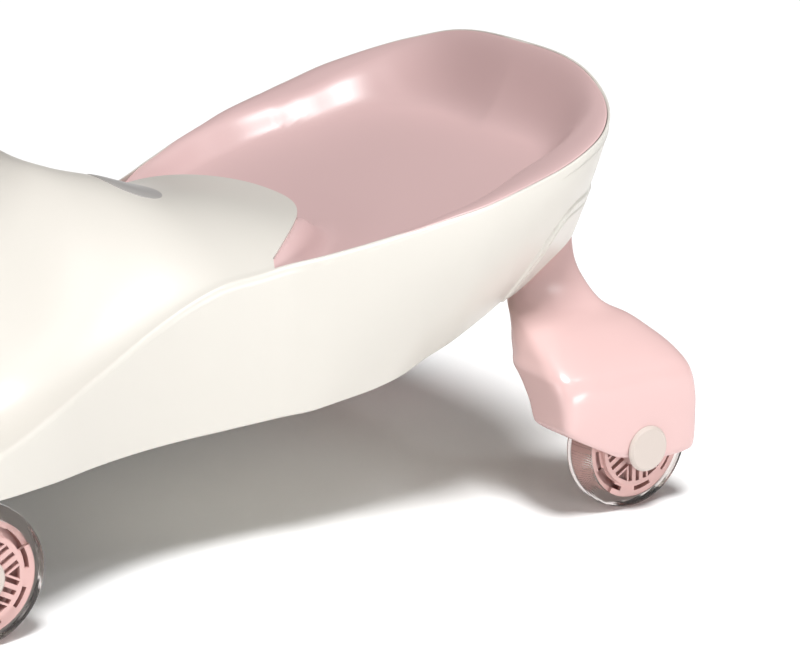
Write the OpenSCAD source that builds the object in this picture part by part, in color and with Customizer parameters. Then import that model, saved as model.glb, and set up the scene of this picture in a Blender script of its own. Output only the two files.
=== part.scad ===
// Wiggle car: a low ride-on toy that is driven by swinging its steering wheel.
// Forward is +X, the car's left is +Y, and the origin is on the floor under the middle of its length.

/* [Overall] */
// Distance between the rear axle and the front axle
wheelbase = 468; // [430:1:520]
// From the rear axle to the rearmost edge of the seat rim
rear_reach = 32; // [29:1:35]
// From the front axle to the tip of the nose
front_reach = 150; // [140:1:180]
// Distance between the middles of the two rear wheels
rear_track = 330; // [320:1:350]
// Distance between the middles of the two front wheels
front_track = 276; // [268:1:284]
// Height of the steering wheel's rim above the floor
steer_height = 402; // [392:1:430]

/* [Body shell] */
// Width over the seat rim at its widest
seat_w = 324; // [310:1:328]
// Width of the waist between the seat and the foot rests
waist_w = 226; // [210:1:240]
// Width over the two foot rests
foot_w = 316; // [306:1:330]
// Wall thickness of the moulded shells
wall = 3; // [2.5:0.1:3.6]
// Gap between the tops of the front wheels and the underside of the shell
wheel_gap = 4; // [3:0.5:10]
// Height of the seat rim at its rear end above the shell's lower edge line
rim_rise = 188; // [180:1:196]
// Width of the thin white edge that frames the seat
edge_w = 3.4; // [3:0.1:5]

/* [Seat] */
// Depth of the seat below its rim, over the thighs
seat_depth = 24; // [16:1:30]
// Extra depth of the seat under the rear rim
back_depth = 22; // [14:1:28]
// Width of the seat's brim over the thighs
lip_w = 27; // [20:1:32]
// Clearance between the seat insert and the shell
seat_gap = 0.3; // [0.2:0.05:0.6]
// Length of the bonnet's tongue over the seat
tongue_len = 72; // [60:1:76]

/* [Wheels] */
// Diameter of the four road wheels
wheel_d = 90; // [84:1:100]
// Width of a tyre
tyre_w = 20; // [18:1:22]
// Diameter of the hub where the tyre sits
hub_d = 73.4; // [70:0.1:76]
// Diameter of the raised grille disc in a hub
grille_d = 56; // [52:1:60]
// Height of the grille's face from the middle of the wheel
grille_h = 12.3; // [11.5:0.1:13]
// Number of triangular windows in a grille
grille_windows = 6; // [5:1:7]
// Width of a grille slot
slot_w = 3; // [2:0.1:3.4]
// Diameter of an axle bolt
axle_d = 8; // [7:0.5:9]
// Outer diameter of a ball bearing
bearing_d = 22; // [20:1:24]
// Width of a ball bearing
bearing_w = 7; // [6:0.5:8]
// Running clearance on an axle, measured on the radius
run_gap = 0.05; // [0.02:0.01:0.1]

/* [Rear pods] */
// Width of a pod across its wheel
pod_w = 43; // [42:0.5:47]
// Diameter of a hub cap
cap_d = 31.2; // [28:0.1:34]
// How far a hub cap stands out of the pod
cap_h = 2.5; // [1.5:0.1:4]
// Side clearance between a hub and its pod
side_gap = 3; // [2:0.1:4]

/* [Steering] */
// Distance of the steering pivot in front of the front axle
trail = 30; // [24:1:36]
// Outer diameter of the steering column
column_d = 22; // [20:1:26]
// Outer diameter of the steering wheel
steer_d = 240; // [220:1:260]
// Thickness of the steering wheel's rim
grip_d = 24; // [20:1:28]
// Height of the bonnet's tower above the shell's lower edge line
tower_rise = 254; // [244:1:258]

/* [Safety wheels] */
// Diameter of the two small wheels under the nose
safety_d = 34; // [30:1:38]
// Height of the small wheels above the floor
safety_lift = 14; // [10:1:20]
// Distance between the middles of the two small wheels
safety_track = 84; // [76:1:92]

/* [Hidden] */

$fn = 64;
pod_reach = 45;
length = pod_reach + wheelbase + front_reach;
rear_x = pod_reach - length / 2;
front_x = rear_x + wheelbase;
pivot_x = front_x + trail;
nose_x = front_x + front_reach;
tail_x = rear_x - rear_reach;
wheel_r = wheel_d / 2;
base_z = wheel_d + wheel_gap;
hub_r = hub_d / 2;
grille_r = grille_d / 2;
axle_r = axle_d / 2;
fit = 0.3;

// Value of a smooth curve through the points of a table of [position, value]
function span(t, x, i = 0) = i >= len(t) - 2 || x < t[i + 1][0] ? i : span(t, x, i + 1);
function rise(t, a, b) = (t[b][1] - t[a][1]) / (t[b][0] - t[a][0]);
function grade(t, i) = rise(t, max(0, i - 1), min(len(t) - 1, i + 1));
function curve(t, x) = let(i = span(t, x), w = t[i + 1][0] - t[i][0],
    u = max(0, min(1, (x - t[i][0]) / w)))
    t[i][1] * (1 + 2 * u) * (1 - u) * (1 - u) + grade(t, i) * w * u * (1 - u) * (1 - u)
    + t[i + 1][1] * u * u * (3 - 2 * u) - grade(t, i + 1) * w * u * u * (1 - u);
function mix(a, b, u) = a + (b - a) * u;

// Driving curves of the body along its length, with heights above base_z
waist_x = rear_x + 290;
thigh_x = rear_x + 80;
half_table = [[tail_x, seat_w / 2], [thigh_x, seat_w / 2], [rear_x + 110, mix(seat_w, waist_w, 0.02) / 2],
    [rear_x + 132, mix(seat_w, waist_w, 0.14) / 2], [rear_x + 156, mix(seat_w, waist_w, 0.28) / 2],
    [rear_x + 186, mix(seat_w, waist_w, 0.5) / 2], [rear_x + 210, mix(seat_w, waist_w, 0.71) / 2],
    [rear_x + 236, mix(seat_w, waist_w, 0.91) / 2],
    [waist_x, waist_w / 2], [front_x - 138, mix(waist_w, foot_w, 0.08) / 2],
    [front_x - 94, mix(waist_w, foot_w, 0.34) / 2], [front_x - 50, mix(waist_w, foot_w, 0.72) / 2],
    [front_x + 2, foot_w / 2], [nose_x, mix(foot_w, waist_w, 0.2) / 2]];
rim_table = [[tail_x, rim_rise], [rear_x - 23, rim_rise - 11.4], [rear_x - 14, rim_rise - 18.6],
    [rear_x - 2, rim_rise - 25.7], [rear_x + 12, rim_rise - 32], [rear_x + 28, rim_rise - 37.6],
    [rear_x + 55, rim_rise - 46.7], [rear_x + 111, rim_rise - 62], [rear_x + 156, rim_rise - 73.4],
    [rear_x + 190, rim_rise - 82.8], [rear_x + 214, rim_rise - 89.2], [rear_x + 250, rim_rise - 96.3],
    [front_x - 190, 88],
    [front_x - 147, 73], [front_x - 105, 57], [front_x - 55, 41], [front_x - 15, 29],
    [front_x + 40, 26], [nose_x, 44]];
low_table = [[tail_x, 92], [rear_x - 5, 78], [rear_x + 46, 48], [rear_x + 65, 43], [rear_x + 125, 20],
    [rear_x + 145, 11], [rear_x + 165, 5.5], [rear_x + 187, 2], [rear_x + 227, -3], [front_x - 174, -6],
    [front_x - 98, -5], [front_x - 10, 0], [nose_x, 2]];
inset_table = [[tail_x, 26], [rear_x - 5, 31], [rear_x + 20, 44], [rear_x + 46, 53], [rear_x + 65, 50],
    [rear_x + 125, 39], [rear_x + 157, 30], [rear_x + 187, 20], [rear_x + 227, 7], [front_x - 98, 5],
    [front_x - 10, 1], [nose_x, 6]];
ridge_table = [[tail_x, rim_rise], [rear_x + 120, rim_rise - 76], [rear_x + 172, rim_rise - 76],
    [rear_x + 206, rim_rise - 73], [rear_x + 259, rim_rise - 64], [front_x - 169, 138],
    [front_x - 134, 149], [front_x - 100, 165], [front_x - 50, 204], [pivot_x - 44, tower_rise - 17],
    [pivot_x - 22, tower_rise - 4.6], [pivot_x, tower_rise - 4], [pivot_x + 22, tower_rise - 4.6],
    [pivot_x + 40, tower_rise - 30], [pivot_x + 60, 176], [nose_x - 32, 106], [nose_x, 44]];
crown_table = [[tail_x, 1], [rear_x + 220, 1], [front_x - 134, 1.7], [front_x - 50, 3.6],
    [pivot_x, 7], [nose_x - 60, 3], [nose_x, 1.2]];
flat_table = [[tail_x, 2], [front_x - 134, 2], [pivot_x - 20, 2.6], [pivot_x + 20, 2.6], [nose_x, 2]];

// Half width of the body in plan at x, drawn in by d, with both ends rounded
end_power = 3.05;
rear_round = thigh_x - tail_x;
front_round = 110;
function ends(x, d) = let(r = max(0, (thigh_x - x) / (rear_round - d)),
    f = max(0, (x - nose_x + front_round) / (front_round - d)))
    pow(max(0, 1 - pow(r, end_power)), 1 / end_power) * pow(max(0, 1 - pow(f, end_power)), 1 / end_power);
function half(x, d) = (curve(half_table, x) - d) * ends(x, d);
function top_z(x, y, d) = let(h = max(1, half(x, 0)), t = min(1, abs(y) / h),
    rim = base_z + curve(rim_table, x), ridge = base_z + curve(ridge_table, x))
    rim + (ridge - rim) * pow(1 - pow(t, curve(flat_table, x)), curve(crown_table, x)) - d;

// A closed skin over sections that all have the same number of points
module skin(sections, hollow = false) {
    n = len(sections[0]);
    m = len(sections);
    side = [for (i = [0:m - 2], k = [0:n - 1])
        let(a = i * n + k, b = i * n + (k + 1) % n, c = a + n, e = b + n) each [[a, b, e], [a, e, c]]];
    strip = [for (k = [0:n / 2 - 2]) each [[k, n - 1 - k, n - 2 - k], [k, n - 2 - k, k + 1]]];
    fan = [for (k = [1:n - 2]) [0, k + 1, k]];
    cap = hollow ? strip : fan;
    far_cap = [for (f = cap) [f[2] + (m - 1) * n, f[1] + (m - 1) * n, f[0] + (m - 1) * n]];
    polyhedron(points = [for (s = sections) each s], faces = concat(side, cap, far_cap));
}

// One cross-section of the body shell, drawn in by d: up one side, over the top and down the other
side_steps = [0, 0.3, 0.6, 0.86];
top_steps = [0.86, 0.7, 0.54, 0.4, 0.26, 0.13, 0];
function side_y(x, v, h) = h - curve(inset_table, x) * pow(1 - v, 2) * h / max(1, curve(half_table, x));
function shell_side(x, d, h) = [for (v = side_steps)
    [side_y(x, v, h), mix(base_z + curve(low_table, x), base_z + curve(rim_table, x) - d, v)]];
function shell_half(x, d) = let(h = half(x, d), e = min(h / 3, curve(half_table, x) > seat_w / 2 - 20 ? 3 : 4))
    concat(shell_side(x, d, h),
        [[h, top_z(x, h, d) - e], [h - e * 0.3, top_z(x, h, d) - e * 0.3], [h - e, top_z(x, h - e, d)]],
        [for (t = top_steps) [(h - e) * t, top_z(x, (h - e) * t, d)]]);
function squash(p, x, q) = [p[0], mix(base_z + curve(low_table, x), p[1], q)];
function shell_ring(x, d, q) = let(s = [for (p = shell_half(x, d)) squash(p, x, q)], n = len(s))
    concat([for (p = s) [x, -p[0], p[1]]], [for (i = [n - 2:-1:0]) [x, s[i][0], s[i][1]]]);
function flip(s) = [for (i = [len(s) - 1:-1:0]) s[i]];
function inside(x) = x > tail_x + wall + 0.4 && x < nose_x - wall - 0.4;
function shell_section(x) = concat(shell_ring(x, 0, 1),
    flip(inside(x) ? shell_ring(x, wall, 1)
        : shell_ring(max(tail_x + wall + 0.3, min(nose_x - wall - 0.3, x)), wall, 0.01)));
function moved(s, x) = [for (p = s) [x, p[1], p[2]]];
rear_stations = [for (s = [0.1, 1.4, 3.3, 3.5, 6, 10, 16, 24, 34, 46, 60, 76, 94, 114]) tail_x + s];
front_stations = [for (s = [98, 80, 66, 52, 40, 30, 22, 15, 9, 5.5, 3.5, 3.3, 1.4, 0.1]) nose_x - s];
mid_from = tail_x + 134;
mid_to = nose_x - 114;
mid_count = 22;
mid_stations = [for (i = [0:mid_count]) mix(mid_from, mid_to, i / mid_count)];
stations = concat(rear_stations, mid_stations, front_stations);

// Outline of the seat opening, drawn in by d from the rim, with the bonnet's tongue at its front
tongue_x = rear_x + 172;
tongue_half = 110;
tongue_power = 2.35;
function tongue_edge(y) = tongue_x + tongue_len * pow(abs(y) / tongue_half, tongue_power);
tub_edge = edge_w + seat_gap;
tub_from = tail_x + tub_edge;
tub_stations = concat([for (s = [0.2, 2, 5, 9, 13, 17, 20, 23, 26, 29, 32, 35, 40, 47, 56, 68, 84, 104, 126, 148,
    170, 192, 212, 232]) tub_from + s], [for (s = [228, 236, 244]) rear_x + s]);
opening_side = concat([[tail_x + edge_w + 0.1, half(tail_x + edge_w + 0.1, edge_w)]],
    [for (x = tub_stations) if (x < rear_x + 240) [x, half(x, edge_w)]]);
opening_front = [for (i = [9:-1:1]) let(y = i * 11.6) [tongue_edge(y), y]];
opening_half = concat(opening_side, opening_front, [[tongue_x, 2]]);
opening = concat(opening_half, [for (p = flip(opening_half)) [p[0], -p[1]]]);

opening_depth = 7;
function opening_floor(x) = base_z + min(curve(rim_table, x), curve(ridge_table, x)) - wall - opening_depth;
module opening_cutter() {
    skin([[for (p = opening) [p[0], p[1], opening_floor(p[0])]],
        [for (p = opening) [p[0], p[1], base_z + rim_rise + 20]]], hollow = true);
}

module body_shell() {
    color("#f2efe6") difference() {
        skin([for (x = stations) moved(shell_section(x), x)], hollow = true);
        opening_cutter();
        translate([pivot_x, 0, base_z + tower_rise / 2]) cylinder(r = bush_r, h = tower_rise);
        translate([pivot_x, 0, tower_z]) cylinder(r = bush_r + 5, h = wall * 3);
    }
}

// The seat insert: a brim that curls over into a steep wall, and a dished floor under the tongue
tub_to = rear_x + 244;
brim_table = [[tail_x, lip_w * 0.3], [rear_x - 13, lip_w * 0.33], [rear_x - 2, lip_w * 0.52], [rear_x + 12, lip_w * 0.74],
    [rear_x + 36, lip_w * 0.93], [rear_x + 60, lip_w], [rear_x + 83, lip_w * 0.8], [rear_x + 109, lip_w * 0.57],
    [rear_x + 133, lip_w * 0.37], [rear_x + 154, lip_w * 0.24], [tub_to, lip_w * 0.17]];
brim_drop = 0.06;
seat_wall = 13;
side_lift = 7;
floor_table = [[tail_x, rim_rise - 32 - back_depth], [rear_x + 5, rim_rise - 34 - back_depth],
    [rear_x + 86, rim_rise - 53 - seat_depth], [rear_x + 150, rim_rise - 68 - seat_depth],
    [rear_x + 190, rim_rise - 79 - seat_depth * 0.9], [tub_to, rim_rise - 94 - seat_depth * 0.5]];
function tub_half(x) = half(x, tub_edge);
function tub_top(x) = base_z + curve(rim_table, x) - max(0, x - rear_x - 200) * 0.2;
function from_rim(x, t) = x > thigh_x ? (1 - t) * tub_half(x)
    : let(r = (thigh_x - x) / (rear_round - tub_edge), h = ends(x, tub_edge))
    (1 - pow(pow(r, end_power) + pow(t * h, end_power), 1 / end_power)) * mix(rear_round, seat_w / 2, t * h);
function seat_z(x, t, m) = let(b = curve(brim_table, x), top = tub_top(x),
    low = min(top - 1, base_z + curve(floor_table, x) + side_lift * pow(t, 3)),
    q = brim_drop * b, v = max(0, min(1, (m - b) / seat_wall)))
    m < b ? top - min(q * m * m / b / b, top - low) : mix(top - min(q, top - low), low, v * v * (3 - 2 * v));
bowl_steps = [1, 0.985, 0.95, 0.915, 0.885, 0.86, 0.835, 0.81, 0.785, 0.76, 0.72, 0.62, 0.46, 0.25, 0];
function tub_ring(x, d) = let(h = max(1.6, tub_half(x)),
    s = [for (t = bowl_steps) [h * t, seat_z(x, t, max(0, from_rim(x, t)) + d) - d]], n = len(s))
    concat([for (p = s) [x, -p[0], p[1]]], [for (i = [n - 2:-1:0]) [x, s[i][0], s[i][1]]]);
function tub_floor(x) = seat_z(x, 0, from_rim(x, 0));

// Posts under the seat stand on bosses of the tray, and a screw holds each from below
post_x = [rear_x + 66, rear_x + 170];
post_y = 46;
post_r = 7;
screw_r = 2;
boss_up = 8;
boss_down = 5;
module at_posts() {
    for (x = post_x, s = [-1, 1]) translate([x, s * post_y, tray_z(x)]) children();
}

module seat_tub() {
    color("#e3bcbb") difference() {
        union() {
            skin([for (x = tub_stations) concat(tub_ring(x, 0), flip(tub_ring(x, wall)))], hollow = true);
            for (x = post_x, s = [-1, 1]) translate([x, s * post_y, tray_z(x) + boss_up])
                cylinder(r = post_r, h = tub_floor(x) - wall + 0.6 - tray_z(x) - boss_up);
        }
        at_posts() cylinder(r = screw_r, h = boss_up + 16);
    }
}

// The tray closes the shell from below, between the pods and the front wheels
tray_from = tail_x + 12;
tray_to = pivot_x - 172;
tray_up = 14;
function tray_half(x) = side_y(x, 0, half(x, wall + fit));
function tray_ring(x, d) = let(h = tray_half(x) - d, z = base_z + curve(low_table, x) + d)
    [[x, h + 0.6, z + tray_up - d * 1.01], [x, h, z + 2], [x, h - 3, z], [x, 0, z], [x, 3 - h, z], [x, -h, z + 2],
        [x, -h - 0.6, z + tray_up - d * 1.01]];
tray_count = 18;
function tray_z(x) = base_z + curve(low_table, x);

module underbody_tray() {
    color("#e9e6dd") difference() {
        union() {
            skin([for (i = [0:tray_count]) let(x = mix(tray_from, tray_to, i / tray_count))
                concat(tray_ring(x, 0), flip(tray_ring(x, wall)))], hollow = true);
            at_posts() translate([0, 0, -boss_down]) cylinder(r = post_r + 2, h = boss_up + boss_down);
            for (s = [-1, 1]) at_neck(s) translate([0, 0, 1]) cylinder(r = 9, h = pod_boss_h - 1);
        }
        at_posts() {
            translate([0, 0, -boss_down - 5]) cylinder(r = 4.6, h = boss_down + 4);
            cylinder(r = screw_r + 0.2, h = 30, center = true);
        }
        for (s = [-1, 1]) at_neck(s) cylinder(r = pod_screw_r + 0.2, h = 30, center = true);
    }
}

// Sections of a rear pod from its hub edge up to its neck: height, rear and front ends, inner and
// outer sides from the wheel's middle plane, and how square the section is
pod_out = pod_w / 2;
pod_table = [[35.5, -45, 64, -pod_out, pod_out, 8], [68, -45, 65, -pod_out - 1, pod_out + 0.5, 8],
    [78, -45, 65, -pod_out - 6, pod_out + 0.5, 7], [87, -44.5, 65.5, -pod_out - 12.5, pod_out, 6],
    [94, -43.5, 65.5, -pod_out - 19.5, pod_out - 1.5, 5], [100, -41, 65, -pod_out - 26.5, pod_out - 5, 4.5],
    [107, -37, 63, -pod_out - 30.5, pod_out - 13, 4], [114, -31, 61, -pod_out - 34.5, pod_out - 24, 3.6],
    [121, -24, 58, -pod_out - 37.5, pod_out - 38, 3.3], [128, -17, 54, -pod_out - 41, pod_out - 54, 3.2]];
neck_rear = -10;
neck_front = 45;
neck_in = -pod_out - 60;
neck_out = pod_out - 84;
neck_square = 3;
neck_gap = 0.7;

// Each pod's neck is screwed to the tray from above, square to the slope there
neck_x = rear_x + 18;
neck_y = rear_track / 2 + (neck_in + neck_out) / 2;
neck_tilt = atan((tray_z(neck_x - 4) - tray_z(neck_x + 4)) / 8);
pod_screw_r = 2.5;
pod_boss_h = 7;
module at_neck(side) {
    translate([neck_x, side * neck_y, tray_z(neck_x)]) rotate([0, neck_tilt, 0]) children();
}

ring_count = 32;
function arc_side(c, n) = sign(c) * pow(abs(c), 2 / n);
chin_x = 9;
chin_grade = 0.51;
function pod_ring(r, top) = [for (k = [0:ring_count - 1]) let(a = -360 * (k + 0.5) / ring_count,
    x = mix(r[1], r[2], 0.5) + (r[2] - r[1]) / 2 * arc_side(cos(a), r[5]),
    y = mix(r[3], r[4], 0.5) + (r[4] - r[3]) / 2 * arc_side(sin(a), r[5]))
    [x, y, top ? base_z + curve(low_table, rear_x + x) - neck_gap
        : r[0] + (r[0] < wheel_r ? chin_grade * max(0, x - chin_x) : 0)]];
boss_lift = 0.5;
cap_seat = pod_out + boss_lift;
hub_inner = 11.5;
slot_r = wheel_r + 4;
head_d = 14;
head_h = 4;
nut_d = 14;

module pod(side) {
    color("#e9c8c6") difference() {
        pod_body(side);
        at_neck(side) translate([0, 0, -18]) cylinder(r = pod_screw_r, h = 30);
    }
}
module pod_body(side) {
    translate([rear_x, side * rear_track / 2, 0]) mirror([0, side > 0 ? 0 : 1, 0]) difference() {
        union() {
            skin(concat([for (r = pod_table) pod_ring(r, false)],
                [pod_ring([0, neck_rear, neck_front, neck_in, neck_out, neck_square], true)]), hollow = true);
            translate([0, cap_seat, wheel_r]) rotate([90, 0, 0]) cylinder(d = cap_d - 1, h = cap_seat - grille_h - side_gap - 1);
        }
        translate([0, grille_h + side_gap, wheel_r]) rotate([90, 0, 0])
            cylinder(r = slot_r, h = grille_h + hub_inner + 2 * side_gap);
        translate([-slot_r, -hub_inner - side_gap, -1])
            cube([2 * slot_r, grille_h + hub_inner + 2 * side_gap, wheel_r + 1]);
        translate([0, pod_out + 1, wheel_r]) rotate([90, 0, 0]) cylinder(r = axle_r, h = pod_w + 2);
        translate([0, cap_seat + 1, wheel_r]) rotate([90, 0, 0]) cylinder(d = head_d, h = head_h + 1);
        translate([0, -pod_out + head_h, wheel_r]) rotate([90, 0, 0]) cylinder(d = nut_d, h = head_h + 9);
    }
}
module rear_pod_left() { pod(1); }
module rear_pod_right() { pod(-1); }

// A wheel is drawn with its axle along Z and its outer face up, then set in its place
module at_wheel(x, y) {
    translate([x, y, wheel_r]) rotate([y > 0 ? -90 : 90, 0, 0]) children();
}
module ring(r_out, r_in, from, to) {
    translate([0, 0, from]) difference() {
        cylinder(r = r_out, h = to - from);
        translate([0, 0, -1]) cylinder(r = r_in, h = to - from + 2);
    }
}
tyre_profile = [for (a = [-90:15:90]) [hub_r + (wheel_r - hub_r) * pow(max(0, cos(a)), 0.5),
    tyre_w / 2 * sign(a) * pow(abs(sin(a)), 0.8)]];
module tyre() {
    color("#cfd2cf", 0.5) rotate_extrude() polygon(tyre_profile);
}

rim_wall = 3.4;
flange_z = tyre_w / 2 - 1;
flange_t = 2.4;
grille_t = 3;
bearing_r = bearing_d / 2;
boss_r = bearing_r + 3;
bearing_out = grille_h - 1;
arc_slots = 8;
arc_span = 24;
flange_gap = 32;
module grille_slots() {
    step = 360 / grille_windows;
    pitch = 2 * slot_w;
    reach = grille_r - 3;
    for (k = [0:grille_windows - 1]) rotate(step * (k + 0.5)) {
        for (o = [-1:1]) translate([abs(o) < 0.5 ? boss_r - 1 : pitch / tan(step / 2), o * pitch - slot_w / 2])
            square([sqrt(reach * reach - o * o * pitch * pitch) - (abs(o) < 0.5 ? boss_r - 1 : pitch / tan(step / 2)), slot_w]);
        rotate(step / 2) polygon([[reach - 7.5, 0], [reach, -4.2], [reach, 4.2]]);
    }
}
module hub() {
    color("#dcb4b2") difference() {
        union() {
            ring(hub_r, hub_r - rim_wall, -flange_z, flange_z);
            ring(hub_r - 0.5, grille_r - 2, flange_z - flange_t, flange_z);
            ring(grille_r, grille_r - 2.4, flange_z - flange_t, grille_h);
            ring(hub_r - 1, boss_r - 1, -4, -1);
            ring(boss_r, axle_r + 2.5, -hub_inner, grille_h);
            translate([0, 0, grille_h - grille_t]) linear_extrude(grille_t) difference() {
                circle(r = grille_r);
                circle(r = boss_r - 1);
                grille_slots();
            }
        }
        translate([0, 0, bearing_out - bearing_w]) cylinder(r = bearing_r, h = bearing_w + 3);
        translate([0, 0, -hub_inner - 1]) cylinder(r = bearing_r, h = bearing_w + 1);
        for (k = [0:arc_slots - 1]) rotate(360 / arc_slots * k) translate([0, 0, flange_z - flange_t - 0.5])
            rotate_extrude(angle = arc_span) translate([grille_r + 2, 0]) square([slot_w, flange_t + 1]);
        for (k = [0, 1]) rotate(180 * k + 24) translate([0, 0, flange_z - flange_t - 0.4])
            rotate_extrude(angle = flange_gap) translate([grille_r + 0.8, 0]) square([hub_r - grille_r, flange_t + 1]);
    }
}
module bearing() {
    ring(bearing_r, bearing_r - 2, 0, bearing_w);
    ring(bearing_r - 2, axle_r + 2, 0.8, bearing_w - 0.8);
    ring(axle_r + 2, axle_r + run_gap, 0, bearing_w);
}
module bearings() {
    color("#8f9296") {
        translate([0, 0, bearing_out - bearing_w]) bearing();
        translate([0, 0, -hub_inner]) bearing();
    }
}
module rear_axle() {
    color("#a9abad") {
        translate([0, 0, cap_seat - head_h]) cylinder(d = head_d, h = head_h - fit);
        translate([0, 0, -pod_out - 2]) cylinder(r = axle_r, h = pod_out + 2 + cap_seat - head_h);
        difference() {
            translate([0, 0, -pod_out - 1]) cylinder(d = nut_d - 1, h = head_h + 1, $fn = 6);
            translate([0, 0, -pod_out - 2]) cylinder(r = axle_r, h = head_h + 4);
        }
    }
}
arm_in = 34;
module front_axle() {
    color("#a9abad") {
        translate([0, 0, grille_h - 0.8]) cylinder(d = head_d, h = 2);
        translate([0, 0, -hub_inner - side_gap - arm_in]) cylinder(r = axle_r, h = grille_h + hub_inner + side_gap + arm_in);
    }
}
module rear_cap() {
    color("#d8d3ca") translate([0, 0, cap_seat]) {
        cylinder(d1 = cap_d, d2 = cap_d - 1, h = cap_h * 0.5);
        translate([0, 0, cap_h * 0.5]) cylinder(d1 = cap_d - 1, d2 = cap_d - 4, h = cap_h * 0.5);
    }
}
module front_cap() {
    color("#d8d3ca") difference() {
        translate([0, 0, grille_h]) {
            cylinder(d1 = cap_d - 2, d2 = cap_d - 3, h = cap_h);
            translate([0, 0, cap_h]) cylinder(d1 = cap_d - 3, d2 = cap_d - 6, h = cap_h * 0.5);
        }
        translate([0, 0, grille_h - 1]) cylinder(d = head_d + 1, h = 2.6);
    }
}
rear_y = rear_track / 2;
front_y = front_track / 2;
module rear_left_tyre() { at_wheel(rear_x, rear_y) tyre(); }
module rear_right_tyre() { at_wheel(rear_x, -rear_y) tyre(); }
module front_left_tyre() { at_wheel(front_x, front_y) tyre(); }
module front_right_tyre() { at_wheel(front_x, -front_y) tyre(); }
module rear_left_hub() { at_wheel(rear_x, rear_y) hub(); }
module rear_right_hub() { at_wheel(rear_x, -rear_y) hub(); }
module front_left_hub() { at_wheel(front_x, front_y) hub(); }
module front_right_hub() { at_wheel(front_x, -front_y) hub(); }
module rear_left_bearings() { at_wheel(rear_x, rear_y) bearings(); }
module rear_right_bearings() { at_wheel(rear_x, -rear_y) bearings(); }
module front_left_bearings() { at_wheel(front_x, front_y) bearings(); }
module front_right_bearings() { at_wheel(front_x, -front_y) bearings(); }
module rear_left_axle() { at_wheel(rear_x, rear_y) rear_axle(); }
module rear_right_axle() { at_wheel(rear_x, -rear_y) rear_axle(); }
module front_left_axle() { at_wheel(front_x, front_y) front_axle(); }
module front_right_axle() { at_wheel(front_x, -front_y) front_axle(); }
module rear_left_hub_cap() { at_wheel(rear_x, rear_y) rear_cap(); }
module rear_right_hub_cap() { at_wheel(rear_x, -rear_y) rear_cap(); }
module front_left_hub_cap() { at_wheel(front_x, front_y) front_cap(); }
module front_right_hub_cap() { at_wheel(front_x, -front_y) front_cap(); }

// Steering: a yoke carries the front wheels and turns on the column in two bushes
column_r = column_d / 2;
column_in = column_r - 3;
yoke_low = wheel_r - 12;
yoke_top = wheel_r + 15;
arm_y = front_y - hub_inner - side_gap;
bracket_z = base_z + 6;
bracket_t = 5;
bush_r = column_r + 4;
bush_h = 26;
wheel_plane = steer_height - grip_d / 2;
steer_hub_r = 36;
steer_hub_low = wheel_plane - 16;
steer_hub_top = wheel_plane + 4;
column_top = wheel_plane - 2;
tower_z = base_z + tower_rise - 4.7;

module steering_yoke() {
    color("#8d8f92") difference() {
        union() {
            translate([front_x - 15, -arm_y, yoke_low]) cube([30, 2 * arm_y, yoke_top - yoke_low]);
            translate([0, 0, yoke_low]) linear_extrude(yoke_top - yoke_low)
                polygon([[front_x, -70], [pivot_x + 10, -20], [pivot_x + 10, 20], [front_x, 70]]);
            translate([pivot_x, 0, yoke_low]) cylinder(r = column_r + 9, h = bracket_z - fit - yoke_low);
        }
        translate([pivot_x, 0, yoke_low + 6]) cylinder(r = column_r, h = 100);
        translate([front_x, arm_y + 1, wheel_r]) rotate([90, 0, 0]) cylinder(r = axle_r, h = arm_in + 1);
        translate([front_x, -arm_y - 1, wheel_r]) rotate([-90, 0, 0]) cylinder(r = axle_r, h = arm_in + 1);
    }
}
module steering_column() {
    color("#b4b6b8") difference() {
        translate([pivot_x, 0, yoke_low + 6]) cylinder(r = column_r, h = column_top - yoke_low - 6);
        translate([pivot_x, 0, yoke_low + 5]) cylinder(r = column_in, h = column_top - yoke_low - 30);
        translate([pivot_x, 0, column_top - 40]) cylinder(r = 3, h = 50);
    }
}
module bush(low, flange) {
    translate([pivot_x, 0, low]) {
        ring(bush_r, column_r + run_gap, 0, bush_h);
        ring(bush_r + 4, column_r + run_gap, flange, flange + 3);
    }
}
module upper_bush() { color("#55585b") bush(tower_z - bush_h + 3, bush_h - 3); }
module lower_bush() { color("#55585b") bush(bracket_z, bush_h); }
module column_collar() {
    color("#e9c8c6") translate([pivot_x, 0, 0])
        rotate_extrude() polygon([[column_r, tower_z + 3 + fit], [column_r + 24, tower_z + 3 + fit], [column_r + 22, tower_z + 9],
            [column_r + 10, tower_z + 20], [column_r + 7, steer_hub_low], [column_r, steer_hub_low]]);
}
function side_v(x, z) = (z - base_z - curve(low_table, x)) / (curve(rim_table, x) - curve(low_table, x));
function plate_edge(from, to, z) = [for (i = [0:6]) let(x = mix(from, to, i / 6)) [x, side_y(x, side_v(x, z), half(x, wall + fit))]];
module plate(from, to, z, t) {
    side = plate_edge(from, to, z);
    translate([0, 0, z]) linear_extrude(t) polygon(concat(side, [for (p = flip(side)) [p[0], -p[1]]]));
}
rib_angles = [for (a = [0:45:315]) a];
module steering_bracket() {
    color("#dedbd3") difference() {
        union() {
            plate(pivot_x - 48, pivot_x + 26, bracket_z, bracket_t);
            translate([pivot_x, 0, bracket_z]) cylinder(r = bush_r + 5, h = bush_h);
            for (a = rib_angles) translate([pivot_x, 0, bracket_z]) rotate([90, 0, a]) translate([0, 0, -1.2])
                linear_extrude(2.4) polygon([[bush_r + 2, 0], [bush_r + 24, 0], [bush_r + 2, bush_h - 2]]);
        }
        translate([pivot_x, 0, bracket_z - 1]) cylinder(r = bush_r, h = bush_h + 2);
    }
}
spokes = 3;
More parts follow.
